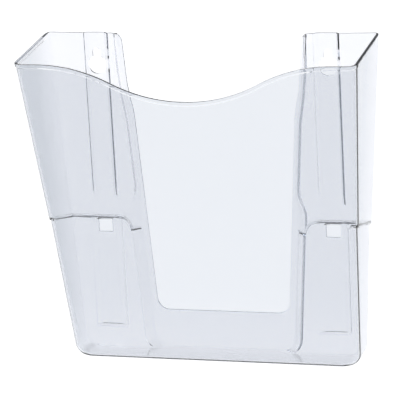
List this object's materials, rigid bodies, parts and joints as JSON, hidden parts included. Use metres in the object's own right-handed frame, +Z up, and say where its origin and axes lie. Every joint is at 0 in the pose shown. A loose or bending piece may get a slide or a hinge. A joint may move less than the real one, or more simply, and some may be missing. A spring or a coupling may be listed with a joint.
{
  "type": "wall_hung_magazine_rack",
  "caption": "Clear moulded plastic magazine rack that hangs on a wall from two keyholes, with a tapering pocket and a scooped front rim.",
  "frame": {"origin": "on the wall plane half way between the two keyhole centres", "axes": "X across the pocket, Y into the wall (the pocket stands forward to -Y), Z up"},
  "size_m": [0.3316, 0.1028, 0.318],
  "materials": {
    "clear_wall": "clear injection-moulded polystyrene, mould-polished flat walls",
    "clear_rib": "clear injection-moulded polystyrene at rims, ribs and steps, where it looks darker"
  },
  "bodies": {
    "root": {"front_panel": "clear_wall", "front_rim": "clear_rib", "left_rim": "clear_rib", "right_rim": "clear_rib", "left_front_corner": "clear_wall", "right_front_corner": "clear_wall", "left_upper_side": "clear_wall", "right_upper_side": "clear_wall", "left_lower_side": "clear_wall", "right_lower_side": "clear_wall", "floor_plate": "clear_wall", "left_outer_strip": "clear_wall", "right_outer_strip": "clear_wall", "left_keyhole_channel": "clear_rib", "right_keyhole_channel": "clear_rib", "left_inner_strip": "clear_wall", "right_inner_strip": "clear_wall", "left_edge_band": "clear_rib", "right_edge_band": "clear_rib", "left_ledge": "clear_rib", "right_ledge": "clear_rib", "left_nest_panel": "clear_wall", "right_nest_panel": "clear_wall", "left_link_slot": "clear_rib", "right_link_slot": "clear_rib", "left_web": "clear_rib", "right_web": "clear_rib", "lower_bar": "clear_wall"}
  },
  "joints": []
}
